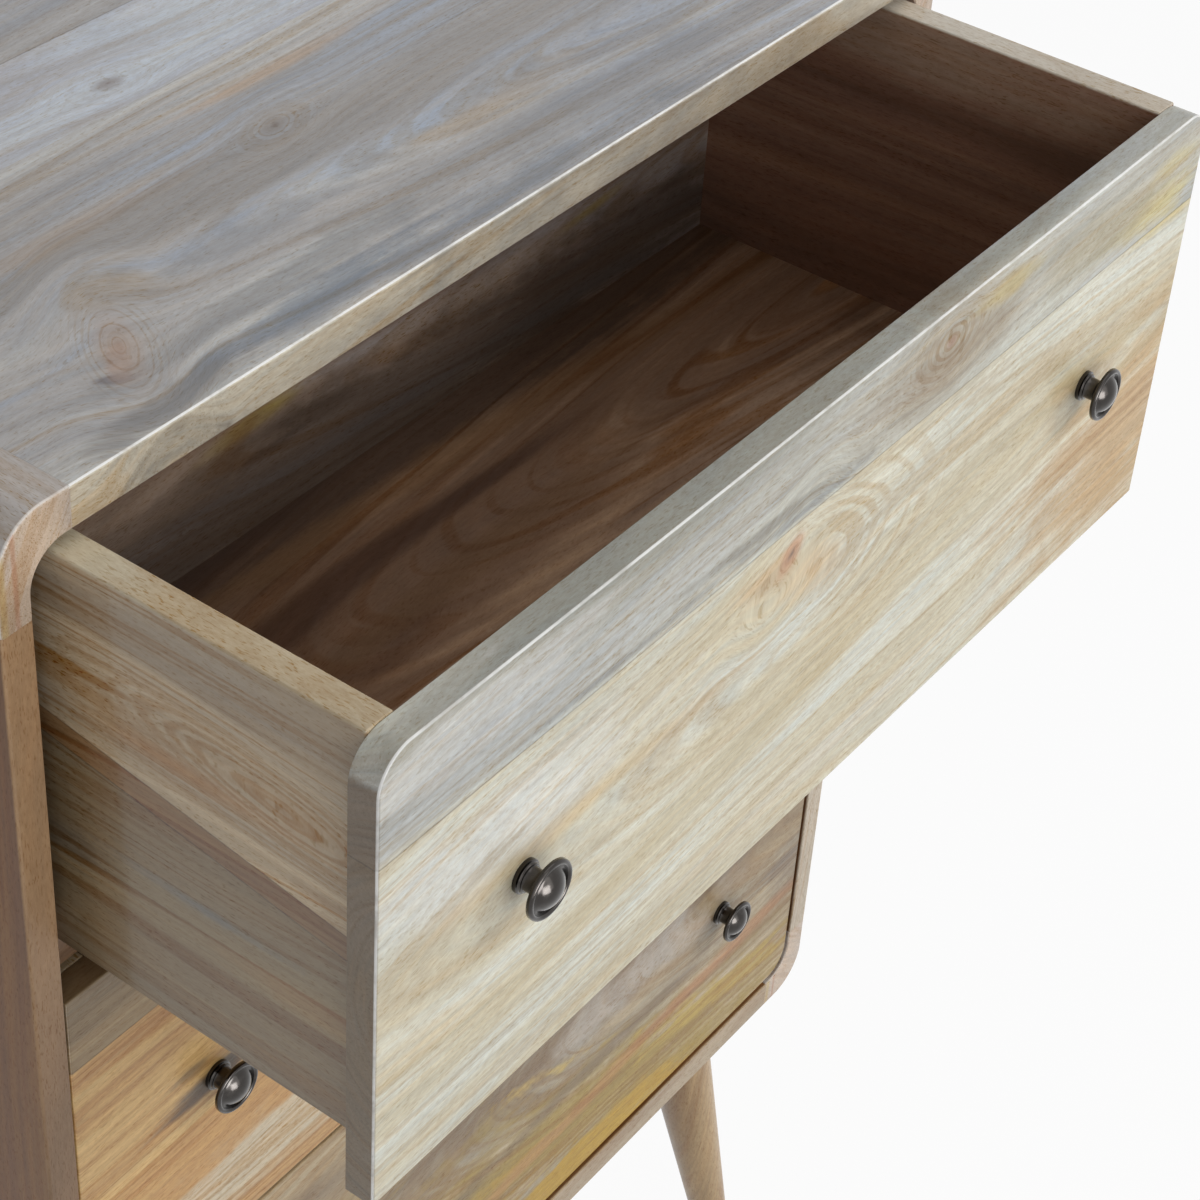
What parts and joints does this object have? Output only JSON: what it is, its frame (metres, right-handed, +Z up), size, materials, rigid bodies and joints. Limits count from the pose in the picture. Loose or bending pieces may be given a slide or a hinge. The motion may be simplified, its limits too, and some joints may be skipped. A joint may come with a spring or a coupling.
{
  "type": "chest of drawers",
  "caption": "Wooden chest of drawers with rounded case corners, flat drawer fronts with turned metal knobs, and splayed tapered legs; the upper drawer stands open.",
  "frame": {"origin": "on the floor, in the middle of the outer box of the chest as it stands with its top drawer part open", "axes": "+Z up, +X to the right seen from the front, +Y towards the back; the drawers pull out along -Y"},
  "size_m": [0.72, 0.5638, 1.107],
  "materials": {
    "top_wood": "grey-washed wood, satin lacquer",
    "case_wood": "grey-brown wood, satin lacquer",
    "back_board": "plain board, matt",
    "front_wood": "pale straw wood, satin lacquer",
    "drawer_wood": "brown wood, satin lacquer",
    "drawer_bottom_wood": "dark walnut brown, satin",
    "inner_wood": "brown wood, matt",
    "leg_wood": "smooth light tan wood, satin",
    "dowel_wood": "bare beech",
    "knob_metal": "dark antique nickel, half gloss",
    "screw_steel": "zinc plated",
    "insert_brass": "plain brass"
  },
  "bodies": {
    "case": {"back_panel": "back_board", "back_panel_screws": "screw_steel", "bottom_panel": "case_wood", "case_dowels": "dowel_wood", "corner_block_bottom_left": "case_wood", "corner_block_bottom_right": "case_wood", "corner_block_top_left": "case_wood", "corner_block_top_right": "case_wood", "drawer_stops": "inner_wood", "guide_bottom_left": "inner_wood", "guide_bottom_right": "inner_wood", "guide_middle_left": "inner_wood", "guide_middle_right": "inner_wood", "guide_top_left": "inner_wood", "guide_top_right": "inner_wood", "leg_back_left": "leg_wood", "leg_back_right": "leg_wood", "leg_front_left": "leg_wood", "leg_front_right": "leg_wood", "leg_hanger_bolts": "screw_steel", "leg_inserts": "insert_brass", "rail_bottom": "inner_wood", "rail_middle": "inner_wood", "rail_top": "inner_wood", "runner_bottom_left": "inner_wood", "runner_bottom_right": "inner_wood", "runner_middle_left": "inner_wood", "runner_middle_right": "inner_wood", "runner_screws": "inner_wood", "runner_top_left": "inner_wood", "runner_top_right": "inner_wood", "side_panel_left": "case_wood", "side_panel_right": "case_wood", "stop_screws": "screw_steel", "top_plank_back": "top_wood", "top_plank_front": "top_wood"},
    "drawer_top": {"drawer_back_top": "drawer_wood", "drawer_bottom_top": "drawer_bottom_wood", "drawer_front_top": "front_wood", "drawer_side_left_top": "drawer_wood", "drawer_side_right_top": "drawer_wood", "knob_left_top": "knob_metal", "knob_right_top": "knob_metal", "knob_screws_top": "screw_steel"},
    "drawer_middle": {"drawer_back_middle": "drawer_wood", "drawer_bottom_middle": "drawer_bottom_wood", "drawer_front_middle": "front_wood", "drawer_side_left_middle": "drawer_wood", "drawer_side_right_middle": "drawer_wood", "knob_left_middle": "knob_metal", "knob_right_middle": "knob_metal", "knob_screws_middle": "screw_steel"},
    "drawer_bottom": {"drawer_back_bottom": "drawer_wood", "drawer_bottom_bottom": "drawer_bottom_wood", "drawer_front_bottom": "front_wood", "drawer_side_left_bottom": "drawer_wood", "drawer_side_right_bottom": "drawer_wood", "knob_left_bottom": "knob_metal", "knob_right_bottom": "knob_metal", "knob_screws_bottom": "screw_steel"}
  },
  "joints": [
    {"name": "top_drawer_slide", "type": "slide", "parent": "case", "child": "drawer_top", "axis": [0, -1, 0], "range_m": [-0.186, 0.054]},
    {"name": "middle_drawer_slide", "type": "slide", "parent": "case", "child": "drawer_middle", "axis": [0, -1, 0], "range_m": [0, 0.24]},
    {"name": "bottom_drawer_slide", "type": "slide", "parent": "case", "child": "drawer_bottom", "axis": [0, -1, 0], "range_m": [0, 0.24]}
  ]
}
